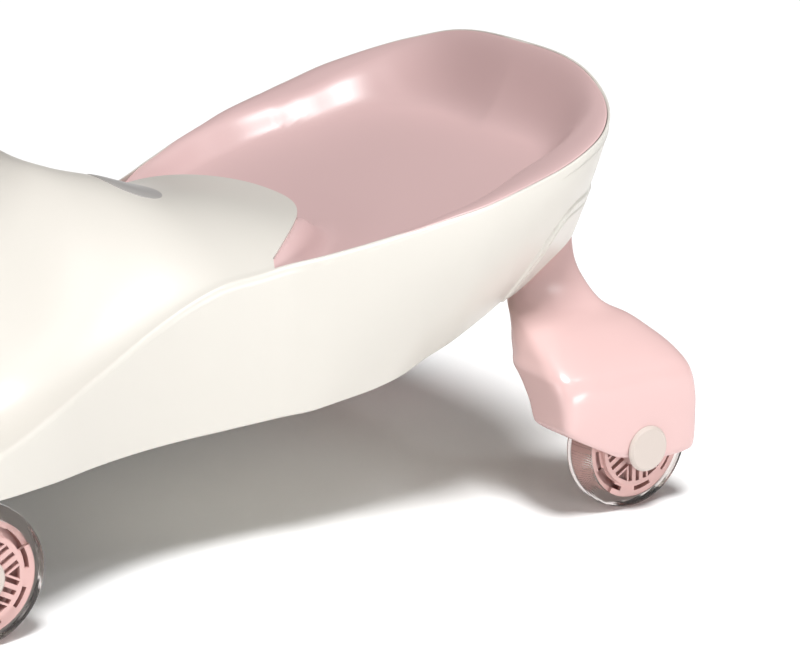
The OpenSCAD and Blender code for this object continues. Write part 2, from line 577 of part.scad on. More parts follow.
module steering_wheel() {
    color("#e9c8c6") translate([pivot_x, 0, 0]) difference() {
        union() {
            translate([0, 0, wheel_plane]) rotate_extrude() translate([steer_d / 2 - grip_d / 2, 0]) circle(d = grip_d);
            translate([0, 0, steer_hub_low]) cylinder(r1 = steer_hub_r - 6, r2 = steer_hub_r, h = steer_hub_top - steer_hub_low);
            for (k = [0:spokes - 1]) rotate(180 + 360 / spokes * k) translate([20, -13, wheel_plane - 6])
                cube([steer_d / 2 - grip_d / 2 - 20, 26, 9]);
        }
        translate([0, 0, steer_hub_low - 1]) cylinder(r = column_r, h = column_top - steer_hub_low + 1);
        translate([0, 0, column_top - 1]) cylinder(r = 3, h = 20);
        translate([0, 0, steer_hub_top - 3]) cylinder(r = 8, h = 20);
    }
}
module steering_screw() {
    color("#77797c") translate([pivot_x, 0, 0]) {
        translate([0, 0, steer_hub_top - 3]) cylinder(r = 6, h = 2.7);
        translate([0, 0, column_top - 22]) cylinder(r = 3, h = steer_hub_top - 3 - column_top + 22);
    }
}
module steering_wheel_cap() {
    color("#f2efe6") translate([pivot_x, 0, steer_hub_top]) {
        cylinder(r = steer_hub_r - 4, h = 3);
        translate([0, 0, 3]) cylinder(r1 = steer_hub_r - 4, r2 = steer_hub_r - 8, h = 3);
    }
}

// Two small wheels under the nose stop the car from tipping forward
safety_x = nose_x - 36;
safety_y = safety_track / 2;
safety_r = safety_d / 2;
safety_z = safety_lift + safety_r;
safety_w = 14;
ear_t = 5;
pin_r = 3;
module safety_bracket() {
    color("#dedbd3") difference() {
        union() {
            plate(nose_x - 72, nose_x - 14, bracket_z, bracket_t);
            for (s = [-1, 1], e = [-1, 1]) translate([0, s * safety_y + e * (safety_w / 2 + 1 + ear_t / 2) + ear_t / 2, 0])
                rotate([90, 0, 0]) linear_extrude(ear_t)
                    polygon([[safety_x - 22, bracket_z + 1], [safety_x + 16, bracket_z + 1], [safety_x + 8, safety_z - 6], [safety_x - 8, safety_z - 6]]);
        }
        for (s = [-1, 1]) translate([safety_x, s * safety_y + 20, safety_z]) rotate([90, 0, 0]) cylinder(r = pin_r, h = 40);
    }
}
module safety_wheel(s) {
    color("#55585b") translate([safety_x, s * safety_y, safety_z]) rotate([90, 0, 0]) rotate_extrude()
        polygon([[pin_r + run_gap, -safety_w / 2], [safety_r - 2, -safety_w / 2], [safety_r, -safety_w / 2 + 2],
            [safety_r, safety_w / 2 - 2], [safety_r - 2, safety_w / 2], [pin_r + run_gap, safety_w / 2]]);
}
module safety_axle(s) {
    color("#a9abad") translate([safety_x, s * safety_y, safety_z]) rotate([90, 0, 0]) {
        translate([0, 0, -safety_w / 2 - ear_t - 1]) cylinder(r = pin_r, h = safety_w + 2 * ear_t + 2);
        for (e = [-1, 1]) translate([0, 0, e * (safety_w / 2 + ear_t + 2) - 1]) cylinder(r = pin_r + 2, h = 2);
    }
}
module safety_left_wheel() { safety_wheel(1); }
module safety_right_wheel() { safety_wheel(-1); }
module safety_left_axle() { safety_axle(1); }
module safety_right_axle() { safety_axle(-1); }

// A plain oval badge that follows the bonnet's ridge
badge_x = rear_x + 281;
badge_l = 44;
badge_w = 56;
function badge_ring(k, lift) = [for (a = [348:-12:0]) let(x = badge_x + badge_l / 2 * k * cos(a), y = badge_w / 2 * k * sin(a))
    [x, y, top_z(x, y, 0) + lift]];
module bonnet_badge() {
    color("#a9a7a5") skin([badge_ring(1, 1.2), badge_ring(1, 2.2), badge_ring(0.93, 2.8)]);
}

// Screws from the tray up into the seat's posts, and down into the pods' necks
screw_head_h = 3;
module tray_screws() {
    color("#77797c") at_posts() {
        translate([0, 0, -1 - screw_head_h]) cylinder(r = 4, h = screw_head_h);
        translate([0, 0, -1]) cylinder(r = screw_r, h = boss_up + 14);
    }
}
module pod_screws() {
    color("#77797c") for (s = [-1, 1]) at_neck(s) {
        translate([0, 0, pod_boss_h]) cylinder(r = 5, h = screw_head_h);
        translate([0, 0, -14]) cylinder(r = pod_screw_r, h = pod_boss_h + 14);
    }
}

body_shell();
seat_tub();
underbody_tray();
rear_pod_left();
rear_pod_right();
rear_left_tyre();
rear_right_tyre();
front_left_tyre();
front_right_tyre();
rear_left_hub();
rear_right_hub();
front_left_hub();
front_right_hub();
rear_left_bearings();
rear_right_bearings();
front_left_bearings();
front_right_bearings();
rear_left_axle();
rear_right_axle();
front_left_axle();
front_right_axle();
rear_left_hub_cap();
rear_right_hub_cap();
front_left_hub_cap();
front_right_hub_cap();
steering_yoke();
steering_column();
upper_bush();
lower_bush();
column_collar();
steering_bracket();
steering_wheel();
steering_wheel_cap();
steering_screw();
safety_bracket();
safety_left_wheel();
safety_right_wheel();
safety_left_axle();
safety_right_axle();
bonnet_badge();
tray_screws();
pod_screws();
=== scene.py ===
# A wiggle car: modelled skins for its shell, tray, seat, badge and rear pods, and materials for every piece
import math

import bmesh
import bpy
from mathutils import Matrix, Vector


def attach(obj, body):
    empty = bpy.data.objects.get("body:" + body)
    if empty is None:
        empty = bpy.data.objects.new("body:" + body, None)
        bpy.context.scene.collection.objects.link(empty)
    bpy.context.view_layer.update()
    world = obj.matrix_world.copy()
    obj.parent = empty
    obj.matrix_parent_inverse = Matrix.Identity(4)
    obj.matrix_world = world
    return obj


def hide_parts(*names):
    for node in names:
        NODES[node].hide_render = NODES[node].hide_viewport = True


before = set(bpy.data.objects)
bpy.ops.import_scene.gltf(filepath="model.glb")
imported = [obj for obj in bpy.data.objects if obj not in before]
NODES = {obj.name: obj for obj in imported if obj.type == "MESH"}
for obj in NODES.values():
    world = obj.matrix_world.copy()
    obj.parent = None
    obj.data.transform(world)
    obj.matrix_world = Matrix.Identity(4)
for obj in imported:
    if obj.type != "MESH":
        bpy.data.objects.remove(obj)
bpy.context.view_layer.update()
MM = 0.001

# Main sizes of the car in millimetres, the same as the construction's
WHEELBASE = 468.0
REAR_REACH = 32.0  # rear axle to the shell's tail
FRONT_REACH = 150.0  # front axle to the nose
POD_REACH = 45.0  # rear axle to a pod's back
REAR_TRACK = 330.0
SEAT_W = 324.0
WAIST_W = 226.0
FOOT_W = 316.0
WHEEL_D = 90.0
WHEEL_GAP = 4.0  # wheel to the shell's base level
RIM_RISE = 188.0  # base level to the rim at the tail
TOWER_RISE = 254.0  # base level to the steering tower's top
EDGE_W = 3.4  # the solid rim's width
SKIN_RIM = 1.6  # the width of rim that shows
SEAT_DEPTH = 24.0
BACK_DEPTH = 22.0
LIP_W = 27.0  # the seat's brim at its widest
SEAT_GAP = 0.3
TONGUE_LEN = 72.0
POD_W = 43.0
TRAIL = 30.0  # front axle to the steering column

REAR_X = POD_REACH - (POD_REACH + WHEELBASE + FRONT_REACH) / 2
FRONT_X = REAR_X + WHEELBASE
PIVOT_X = FRONT_X + TRAIL
NOSE_X = FRONT_X + FRONT_REACH
TAIL_X = REAR_X - REAR_REACH
WHEEL_R = WHEEL_D / 2
BASE_Z = WHEEL_D + WHEEL_GAP
THIGH_X = REAR_X + 80
REAR_ROUND = THIGH_X - TAIL_X
FRONT_ROUND = 110.0
END_POWER = 3.05  # how square the rounded ends are in plan


# Small sums that every shape uses
def mix(a, b, u):
    return a + (b - a) * u


def clamp(u):
    return max(0.0, min(1.0, u))


def ease(u):
    return u * u * (3 - 2 * u)


def hermite(start, end, grade_in, grade_out, u):
    """A cubic from start to end that leaves and arrives at the given grades."""
    return (start * (1 + 2 * u) * (1 - u) ** 2 + grade_in * u * (1 - u) ** 2
            + end * u * u * (3 - 2 * u) - grade_out * u * u * (1 - u))


def curve(table, x):
    """The smooth line through a table's [x, value] points, level beyond them."""
    i = 0
    while i < len(table) - 2 and x >= table[i + 1][0]:
        i += 1

    def grade(k):
        a, b = max(0, k - 1), min(len(table) - 1, k + 1)
        return (table[b][1] - table[a][1]) / (table[b][0] - table[a][0])

    w = table[i + 1][0] - table[i][0]
    u = clamp((x - table[i][0]) / w)
    return hermite(table[i][1], table[i + 1][1], grade(i) * w, grade(i + 1) * w, u)


# The shell's lines from tail to nose: half width, then heights over the base level
HALF_TABLE = [[TAIL_X, SEAT_W / 2], [THIGH_X, SEAT_W / 2], [REAR_X + 110, mix(SEAT_W, WAIST_W, 0.02) / 2],
              [REAR_X + 132, mix(SEAT_W, WAIST_W, 0.14) / 2], [REAR_X + 156, mix(SEAT_W, WAIST_W, 0.28) / 2],
              [REAR_X + 186, mix(SEAT_W, WAIST_W, 0.5) / 2], [REAR_X + 210, mix(SEAT_W, WAIST_W, 0.71) / 2],
              [REAR_X + 236, mix(SEAT_W, WAIST_W, 0.91) / 2], [REAR_X + 290, WAIST_W / 2],
              [FRONT_X - 138, mix(WAIST_W, FOOT_W, 0.08) / 2], [FRONT_X - 94, mix(WAIST_W, FOOT_W, 0.34) / 2],
              [FRONT_X - 50, mix(WAIST_W, FOOT_W, 0.72) / 2], [FRONT_X + 2, FOOT_W / 2],
              [NOSE_X, mix(FOOT_W, WAIST_W, 0.2) / 2]]
RIM_TABLE = [[TAIL_X, RIM_RISE], [REAR_X - 23, RIM_RISE - 11.4], [REAR_X - 14, RIM_RISE - 18.6],
             [REAR_X - 2, RIM_RISE - 25.7], [REAR_X + 12, RIM_RISE - 32], [REAR_X + 28, RIM_RISE - 37.6],
             [REAR_X + 55, RIM_RISE - 46.7], [REAR_X + 111, RIM_RISE - 62], [REAR_X + 156, RIM_RISE - 73.4],
             [REAR_X + 190, RIM_RISE - 82.8], [REAR_X + 214, RIM_RISE - 89.2],
             [REAR_X + 250, RIM_RISE - 96.3], [FRONT_X - 190, 88], [FRONT_X - 147, 73], [FRONT_X - 105, 57],
             [FRONT_X - 55, 41], [FRONT_X - 15, 29], [FRONT_X + 40, 26], [NOSE_X, 44]]
LOW_TABLE = [[TAIL_X, 96], [REAR_X - 5, 82], [REAR_X + 20, 66], [REAR_X + 46, 48], [REAR_X + 65, 43],
             [REAR_X + 125, 20], [REAR_X + 145, 11], [REAR_X + 165, 5.5], [REAR_X + 187, 2],
             [REAR_X + 227, -3], [FRONT_X - 174, -6], [FRONT_X - 98, -5], [FRONT_X - 10, 0], [NOSE_X, 2]]
RIDGE_TABLE = [[TAIL_X, RIM_RISE], [REAR_X + 120, RIM_RISE - 76], [REAR_X + 172, RIM_RISE - 76],
               [REAR_X + 206, RIM_RISE - 73], [REAR_X + 259, RIM_RISE - 64], [FRONT_X - 169, 138],
               [FRONT_X - 134, 149], [FRONT_X - 100, 165], [FRONT_X - 50, 204],
               [PIVOT_X - 44, TOWER_RISE - 17], [PIVOT_X - 22, TOWER_RISE - 4.6], [PIVOT_X, TOWER_RISE - 4],
               [PIVOT_X + 22, TOWER_RISE - 4.6], [PIVOT_X + 40, TOWER_RISE - 30], [PIVOT_X + 60, 176],
               [NOSE_X - 32, 106], [NOSE_X, 44]]
# How far the side draws in from the rim to the lower edge
INSET_TABLE = [[TAIL_X, 26], [REAR_X - 5, 31], [REAR_X + 20, 44], [REAR_X + 46, 53], [REAR_X + 65, 50],
               [REAR_X + 125, 39], [REAR_X + 157, 30], [REAR_X + 187, 20], [REAR_X + 227, 7],
               [FRONT_X - 98, 5], [FRONT_X - 10, 1], [NOSE_X, 6]]
# The bonnet's section: how narrow its crown is, and how flat its top
CROWN_TABLE = [[TAIL_X, 1], [REAR_X + 220, 1], [FRONT_X - 134, 1.7], [FRONT_X - 50, 3.6],
               [PIVOT_X, 7], [NOSE_X - 60, 3], [NOSE_X, 1.2]]
FLAT_TABLE = [[TAIL_X, 2], [FRONT_X - 134, 2], [PIVOT_X - 20, 2.6], [PIVOT_X + 20, 2.6], [NOSE_X, 2]]


def ends(x, d):
    """The share of its full width that the outline keeps where its ends round off, drawn in by d."""
    r = max(0.0, (THIGH_X - x) / (REAR_ROUND - d))
    f = max(0.0, (x - NOSE_X + FRONT_ROUND) / (FRONT_ROUND - d))
    return (max(0.0, 1 - r ** END_POWER) ** (1 / END_POWER)
            * max(0.0, 1 - f ** END_POWER) ** (1 / END_POWER))


def half(x, d=0.0):
    """Half the outline's width at x, drawn in by d."""
    return (curve(HALF_TABLE, x) - d) * ends(x, d)


def rim_z(x):
    return BASE_Z + curve(RIM_TABLE, x)


def low_z(x):
    return BASE_Z + curve(LOW_TABLE, x)


def top_z(x, y):
    """The bonnet's height, from the rim at the sides to the ridge in the middle."""
    t = min(1.0, abs(y) / max(1.0, half(x)))
    rim, ridge = rim_z(x), BASE_Z + curve(RIDGE_TABLE, x)
    return rim + (ridge - rim) * max(0.0, 1 - t ** curve(FLAT_TABLE, x)) ** curve(CROWN_TABLE, x)


# The side wall: it leans in at the tail, and a ledge and a groove run down it over each pod.
# Their tables and v give a height as a share of the wall's, from its lower edge up to the rim.
STEP_TABLE = [[TAIL_X, 0.35], [REAR_X - 5, 0.42], [REAR_X + 10, 0.52], [REAR_X + 28, 0.6],
              [REAR_X + 38, 0.59], [REAR_X + 45, 0.55], [REAR_X + 50, 0.48], [REAR_X + 53, 0.4],
              [REAR_X + 57, 0.28], [REAR_X + 62, 0.05], [REAR_X + 66, -0.2], [REAR_X + 80, -1.0]]
GROOVE_TABLE = [[TAIL_X, 0.3], [REAR_X, 0.36], [REAR_X + 20, 0.46], [REAR_X + 33, 0.52], [REAR_X + 40, 0.5],
                [REAR_X + 44, 0.42], [REAR_X + 48, 0.32], [REAR_X + 53, 0.2], [REAR_X + 58, 0.0],
                [REAR_X + 62, -0.2], [REAR_X + 80, -1.1]]
STEP_OUT = 2.0
STEP_W = 1.6
GROOVE_DEPTH = 1.8
GROOVE_HALF = 1.5
TRIM_TO = REAR_X + 78
TRIM_HALF = 40.0  # the steps fade where the shell's half width is less
TAIL_LEAN = 13.0
LEAN_BLEND = 80.0
TAIL_POWER = 1.2
SIDE_POWER = 2.0


def lean_power(x):
    return mix(TAIL_POWER, SIDE_POWER, clamp((x - REAR_X) / LEAN_BLEND))


def above(table, x, v):
    """How far the line of a table lies above the point v, across the line, in mm."""
    high = rim_z(x) - low_z(x)
    slope = (curve(table, x + 1) - curve(table, x - 1)) / 2 * high
    return (curve(table, x) - v) * high / math.hypot(1, slope)


def side_y(x, v, h):
    y = h - curve(INSET_TABLE, x) * (1 - v) ** lean_power(x) * h / max(1.0, curve(HALF_TABLE, x))
    if x > TRIM_TO:
        return y
    ledge = clamp(above(STEP_TABLE, x, v) / STEP_W)
    groove = max(0.0, 1 - abs(above(GROOVE_TABLE, x, v)) / GROOVE_HALF)
    return y + min(1.0, h / TRIM_HALF) * (STEP_OUT * ledge - GROOVE_DEPTH * groove)


def side_x(x, v):
    return x + max(0.0, THIGH_X - x) * TAIL_LEAN * (1 - v) ** lean_power(x) / REAR_ROUND


# Materials: smooth moulded plastics in one colour a piece, steel, and clear tyres
SCREEN_GAMMA = 2.2


def material(name, color, rough, **more):
    """A material whose colour is written as it shows on a screen; more names other sockets."""
    m = bpy.data.materials.new(name)
    m.use_nodes = True
    sockets = m.node_tree.nodes["Principled BSDF"].inputs
    sockets["Base Color"].default_value = (*[c ** SCREEN_GAMMA for c in color], 1)
    sockets["Roughness"].default_value = rough
    for key, value in more.items():
        sockets[key.replace("_", " ")].default_value = value
    return m


CREAM = material("cream_shell", (0.81, 0.795, 0.765), 0.33)
SEAT_PINK = material("seat_pink", (0.80, 0.68, 0.675), 0.34)
POD_PINK = material("pod_pink", (0.82, 0.69, 0.68), 0.24)
HUB_PINK = material("hub_pink", (0.80, 0.65, 0.63), 0.35)
CAP_GREY = material("cap_grey", (0.755, 0.71, 0.68), 0.35)
BADGE_GREY = material("badge_grey", (0.66, 0.65, 0.64), 0.3)
INNER = material("inner_cream", (0.9, 0.885, 0.84), 0.5)
STEEL = material("steel", (0.66, 0.66, 0.67), 0.32, Metallic=1.0)
NYLON = material("dark_nylon", (0.27, 0.28, 0.29), 0.5)
YOKE = material("yoke_grey", (0.52, 0.52, 0.53), 0.5)
CLEAR = material("clear_tyre", (0.90, 0.87, 0.86), 0.1, IOR=1.16, Transmission_Weight=1.0)

LOOK = {"body_shell": CREAM, "seat_tub": SEAT_PINK, "underbody_tray": INNER, "rear_pod_left": POD_PINK,
        "rear_pod_right": POD_PINK, "steering_yoke": YOKE, "steering_column": STEEL, "upper_bush": NYLON,
        "lower_bush": NYLON, "column_collar": POD_PINK, "steering_bracket": INNER, "steering_wheel": POD_PINK,
        "steering_wheel_cap": CREAM, "steering_screw": STEEL, "safety_bracket": INNER,
        "safety_left_wheel": NYLON, "safety_right_wheel": NYLON, "safety_left_axle": STEEL,
        "safety_right_axle": STEEL, "bonnet_badge": BADGE_GREY, "tray_screws": STEEL, "pod_screws": STEEL}
for corner in ("rear_left", "rear_right", "front_left", "front_right"):
    LOOK[corner + "_tyre"] = CLEAR
    LOOK[corner + "_hub"] = HUB_PINK
    LOOK[corner + "_bearings"] = STEEL
    LOOK[corner + "_axle"] = STEEL
    LOOK[corner + "_hub_cap"] = CAP_GREY
for name, node in NODES.items():
    node.data.materials.clear()
    node.data.materials.append(LOOK[name])

# Mesh helpers
WELD = 0.00002


def mesh_object(name, verts, faces, mat=None, crease=40):
    """An object from points in millimetres, smooth but for edges sharper than the crease in degrees."""
    me = bpy.data.meshes.new(name)
    me.from_pydata([[c * MM for c in v] for v in verts], [], faces)
    me.validate()
    if mat:
        me.materials.append(mat)
    ob = bpy.data.objects.new(name, me)
    bpy.context.scene.collection.objects.link(ob)
    finish_mesh(ob, crease)
    return ob


def finish_mesh(ob, crease):
    bm = bmesh.new()
    bm.from_mesh(ob.data)
    bmesh.ops.remove_doubles(bm, verts=bm.verts, dist=WELD)
    bmesh.ops.recalc_face_normals(bm, faces=bm.faces)
    limit = math.radians(crease)
    for f in bm.faces:
        f.smooth = True
    for e in bm.edges:
        e.smooth = not (len(e.link_faces) == 2 and e.calc_face_angle(0.0) > limit)
    bm.to_mesh(ob.data)
    bm.free()


def thicken(ob, thickness):
    solid = ob.modifiers.new("thickness", "SOLIDIFY")
    solid.thickness = thickness * MM
    solid.offset = -1


def cut(ob, tool):
    mod = ob.modifiers.new("cut", "BOOLEAN")
    mod.operation = "DIFFERENCE"
    mod.solver = "EXACT"
    mod.object = tool
    graph = bpy.context.evaluated_depsgraph_get()
    me = bpy.data.meshes.new_from_object(ob.evaluated_get(graph))
    ob.modifiers.clear()
    ob.data = me
    bpy.data.objects.remove(tool)


def grid_faces(rows, cols, closed=False):
    out = []
    for i in range(rows - 1):
        for j in range(cols if closed else cols - 1):
            k = (j + 1) % cols
            out.append([i * cols + j, i * cols + k, (i + 1) * cols + k, (i + 1) * cols + j])
    return out


REAR_STATIONS = 40
MID_STATIONS = 90
FRONT_STATIONS = 34


def plan_stations(d=0.0):
    """Places along the car, closer together where its ends round off, for an outline drawn in by d."""
    front_x = NOSE_X - FRONT_ROUND
    xs = []
    for i in range(REAR_STATIONS):
        a = math.pi / 2 * (1 - i / REAR_STATIONS)
        xs.append(THIGH_X - (REAR_ROUND - d) * math.sin(a) ** (2 / END_POWER))
    for i in range(MID_STATIONS):
        xs.append(mix(THIGH_X, front_x, i / MID_STATIONS))
    for i in range(FRONT_STATIONS + 1):
        a = math.pi / 2 * i / FRONT_STATIONS
        xs.append(front_x + (FRONT_ROUND - d) * math.sin(a) ** (2 / END_POWER))
    return xs


# The body shell: one skin of side wall, rounded edge, bonnet and tongue, with its thickness
SHELL_WALL = 1.2
NOTCH_X = REAR_X + 240  # where the bonnet's tongue begins
OPENING_DEPTH = 7.0
TONGUE_X = REAR_X + 172
TONGUE_HALF = 110.0
TONGUE_POWER = 2.35
TONGUE_SPAN = 108.0
TONGUE_SHARES = [0, 0.02, 0.05, 0.1, 0.2, 0.32, 0.46, 0.6, 0.74, 0.88, 1]
TONGUE_DROP = 6.0
EDGE_TAIL = 1.1
EDGE_FRONT = 4.0
EDGE_FROM = REAR_X + 60
EDGE_BLEND = 120.0
SIDE_STEPS = 100
EDGE_STEPS = 6
BONNET_STEPS = 60
RIM_FALL = 0.3  # from the rim's crest to its inner edge
RIM_SHOULDER = 0.3
TRIM_STATIONS = [REAR_X + 0.9 * i for i in range(90)]  # close enough for the steps in the side


def edge_size(x):
    return min(half(x) / 3, mix(EDGE_TAIL, EDGE_FRONT, clamp((x - EDGE_FROM) / EDGE_BLEND)))


def side_profile(x):
    """Points [x, y, z] of one side from the lower edge up and round to the flat of the rim."""
    h, e = half(x), edge_size(x)
    low, high, flat = low_z(x), rim_z(x) - e, top_z(x, h - e)
    pts = []
    for i in range(SIDE_STEPS + 1):
        v = i / SIDE_STEPS
        pts.append([side_x(x, v), side_y(x, v, h), mix(low, high, v)])
    for i in range(1, EDGE_STEPS + 1):
        a = math.pi / 2 * i / EDGE_STEPS
        pts.append([x, h - e + e * math.cos(a), mix(high, flat, math.sin(a))])
    return pts


def opening_profile(x):
    """Points [x, y, z] across the rim's flat and down the opening that holds the seat."""
    crest = half(x) - edge_size(x)
    inner = min(half(x, SKIN_RIM), crest)
    z = top_z(x, crest)
    return [[x, crest, z], [x, mix(inner, crest, RIM_SHOULDER), z - RIM_FALL / 6],
            [x, inner, z - RIM_FALL], [x, inner, z - OPENING_DEPTH]]


def tongue_edge(y):
    return TONGUE_X + TONGUE_LEN * (abs(y) / TONGUE_HALF) ** TONGUE_POWER


class Skin:
    """A mesh made of rows of points, in which equal points are one."""

    def __init__(self):
        self.verts, self.faces, self.index = [], [], {}

    def point(self, x, y, z):
        key = (round(x, 3), round(y, 3), round(z, 3))
        if key not in self.index:
            self.index[key] = len(self.verts)
            self.verts.append([x, y, z])
        return self.index[key]

    def row(self, points, side=1):
        return [self.point(x, side * y, z) for x, y, z in points]

    def quads(self, rows, flip=False):
        for r, s in zip(rows, rows[1:]):
            for k in range(len(r) - 1):
                q = [r[k], r[k + 1], s[k + 1], s[k]]
                q = [v for i, v in enumerate(q) if v != q[i - 1]]
                if len(q) > 2:
                    self.faces.append(q[::-1] if flip else q)


def add_tongue(skin, shares):
    """The bonnet behind the notches, out to the tongue's edge and down from it."""
    notch_half = half(NOTCH_X) - edge_size(NOTCH_X)
    rows = []
    for u in TONGUE_SHARES:
        row = []
        for t in shares:
            y_out = t * TONGUE_SPAN
            x = mix(min(tongue_edge(y_out), NOTCH_X), NOTCH_X, u)
            y = mix(y_out, t * notch_half, u)
            if abs(t) == 1:
                x, y = NOTCH_X, t * notch_half
            row.append(skin.point(x, y, top_z(x, y)))
        rows.append(row)
    skin.quads(rows, True)
    edge = [skin.verts[k] for k in rows[0]]
    skin.quads([[skin.point(x, y, z - d) for x, y, z in edge] for d in (TONGUE_DROP, 0.0)], True)


def shell_mesh():
    skin = Skin()
    xs = sorted(set(plan_stations() + TRIM_STATIONS + [NOTCH_X]))
    for side in (1, -1):
        skin.quads([skin.row(side_profile(x), side) for x in xs], side < 0)
        skin.quads([skin.row(opening_profile(x), side) for x in xs if x <= NOTCH_X], side < 0)
    shares = [-1 + 2 * i / BONNET_STEPS for i in range(BONNET_STEPS + 1)]
    rows = []
    for x in xs:
        if x >= NOTCH_X:
            crest = half(x) - edge_size(x)
            rows.append(skin.row([[x, crest * t, top_z(x, crest * t)] for t in shares]))
    skin.quads(rows, True)
    add_tongue(skin, shares)
    return skin.verts, skin.faces


shell = mesh_object("body_shell_skin", *shell_mesh(), CREAM, 50)
thicken(shell, SHELL_WALL)
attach(shell, "chassis")
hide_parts("body_shell")

# The tray: the construction's own mesh, its rear rim drawn in with the shell's leaning wall
DRAW_FROM = 0.6
DRAW_BLEND = 0.3
tray = NODES["underbody_tray"].copy()
tray.data = NODES["underbody_tray"].data.copy()
tray.name = "tray_skin"
bpy.context.scene.collection.objects.link(tray)
world_matrix = NODES["underbody_tray"].matrix_world.copy()
for vertex in tray.data.vertices:
    place = world_matrix @ vertex.co
    x, y = place.x / MM, place.y / MM
    if x < THIGH_X:
        r, s = (THIGH_X - x) / REAR_ROUND, abs(y) / (SEAT_W / 2)
        rho = (r ** END_POWER + s ** END_POWER) ** (1 / END_POWER)
        near_rim = clamp((rho - DRAW_FROM) / DRAW_BLEND)
        place.x += (side_x(x, 0) - x) * near_rim * MM
        vertex.co = world_matrix.inverted() @ place
tray.matrix_world = world_matrix
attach(tray, "chassis")
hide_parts("underbody_tray")

# The seat insert: a brim round the edge, a rounded wall and a dished floor
TUB_EDGE = SKIN_RIM + SEAT_GAP
BRIM_SHIFT = EDGE_W - SKIN_RIM
TUB_TO = REAR_X + 244
BRIM_TABLE = [[TAIL_X, LIP_W * 0.12], [REAR_X - 20, LIP_W * 0.2], [REAR_X - 2, LIP_W * 0.5],
              [REAR_X + 12, LIP_W * 0.74], [REAR_X + 36, LIP_W * 0.93], [REAR_X + 60, LIP_W],
              [REAR_X + 83, LIP_W * 0.8], [REAR_X + 109, LIP_W * 0.57], [REAR_X + 133, LIP_W * 0.37],
              [REAR_X + 154, LIP_W * 0.24], [TUB_TO, LIP_W * 0.17]]
FLOOR_TABLE = [[TAIL_X, RIM_RISE - 32 - BACK_DEPTH], [REAR_X + 5, RIM_RISE - 34 - BACK_DEPTH],
               [REAR_X + 86, RIM_RISE - 53 - SEAT_DEPTH], [REAR_X + 150, RIM_RISE - 68 - SEAT_DEPTH],
               [REAR_X + 190, RIM_RISE - 79 - SEAT_DEPTH * 0.9], [TUB_TO, RIM_RISE - 94 - SEAT_DEPTH * 0.5]]
TUB_WALL = 2.4
BRIM_DROP = 0.06  # the brim's fall for each mm of its width
BRIM_CROWN = 1.2
CROWN_FROM = 8.0  # a narrower brim has no crown
CROWN_BLEND = 10.0
CROWN_SKEW = 0.7
SEAT_WALL = 13.0
SIDE_LIFT = 7.0
FRONT_DIP = 0.2
DIP_FROM = REAR_X + 200
SOFT = (-6, -4, -2, 0, 2, 4, 6)
TONGUE_FROM = REAR_X + 120
TONGUE_BLEND = 30.0
TONGUE_UNDER = 8.0  # how far the raised strip goes on under the tongue
TONGUE_GAP = 1.1
TONGUE_SLOPE = 0.8
RAISE_FROM = 25.0
RAISE_BLEND = 45.0
NEAR_EDGE = [0, 0.4, 0.9, 1.6, 2.6, 4] + [5.5 + 1.5 * i for i in range(20)]
NARROW_HALF = 60.0  # a narrower seat has its stations spread over its width
INNER_STEPS = 30
NOTCH_STATIONS = [REAR_X + 130 + 2 * i for i in range(57)]  # close enough for the strip along the tongue
EDGE_ROUND = 0.5


def tub_top(x):
    outer = min(x, THIGH_X - (THIGH_X - x) * REAR_ROUND / (REAR_ROUND - TUB_EDGE))
    return BASE_Z + curve(RIM_TABLE, outer) - max(0.0, x - DIP_FROM) * FRONT_DIP


def from_rim(x, t):
    """Distance from the seat's outer edge, measured in plan."""
    if x > THIGH_X:
        return (1 - t) * half(x, TUB_EDGE)
    r, w = (THIGH_X - x) / (REAR_ROUND - TUB_EDGE), t * ends(x, TUB_EDGE)
    return (1 - (r ** END_POWER + w ** END_POWER) ** (1 / END_POWER)) * mix(REAR_ROUND, SEAT_W / 2, w)


def seat_z(x, t, m):
    """The seat's height at a share t of its half width, m from its outer edge, with sharp creases."""
    brim, top = curve(BRIM_TABLE, x) + BRIM_SHIFT, tub_top(x)
    low = min(top - 1, BASE_Z + curve(FLOOR_TABLE, x) + SIDE_LIFT * t ** 3)
    drop = BRIM_DROP * brim
    if m < brim:
        return top - min(drop * m * m / brim / brim, top - low)
    return mix(top - min(drop, top - low), low, ease(clamp((m - brim) / SEAT_WALL)))


def soft_seat_z(x, t, m):
    """The seat's surface with its creases rounded, and raised to the tongue's edge near the notches."""
    z = sum(seat_z(x, t, max(0.0, m + d)) for d in SOFT) / len(SOFT)
    brim = curve(BRIM_TABLE, x) + BRIM_SHIFT
    if m < brim:
        crown = BRIM_CROWN * clamp((brim - CROWN_FROM) / CROWN_BLEND)
        z += crown * math.sin(math.pi * (m / brim) ** CROWN_SKEW)
    y = half(x, TUB_EDGE) * t
    d = tongue_edge(y) - x
    if x < TONGUE_FROM or not -TONGUE_UNDER < d < TONGUE_BLEND:
        return z
    raised = top_z(x, y) - TONGUE_GAP + min(0.0, d) * TONGUE_SLOPE
    share = ease(clamp(1 - d / TONGUE_BLEND)) * ease(clamp((y - RAISE_FROM) / RAISE_BLEND))
    return mix(z, raised, share)


def tub_row(x):
    """Points [y, z] of the seat's section at x, from its outer edge to the middle."""
    h = max(0.01, half(x, TUB_EDGE))
    ts = [max(0.0, 1 - m / h) if h > NARROW_HALF else 1 - m / NEAR_EDGE[-1] for m in NEAR_EDGE]
    ts += [max(0.0, ts[-1]) * (1 - i / INNER_STEPS) for i in range(1, INNER_STEPS + 1)]
    row = []
    for t in ts:
        m = max(0.0, from_rim(x, t))
        row.append([h * t, soft_seat_z(x, t, m) - EDGE_ROUND * max(0.0, 1 - m) ** 2])
    return row


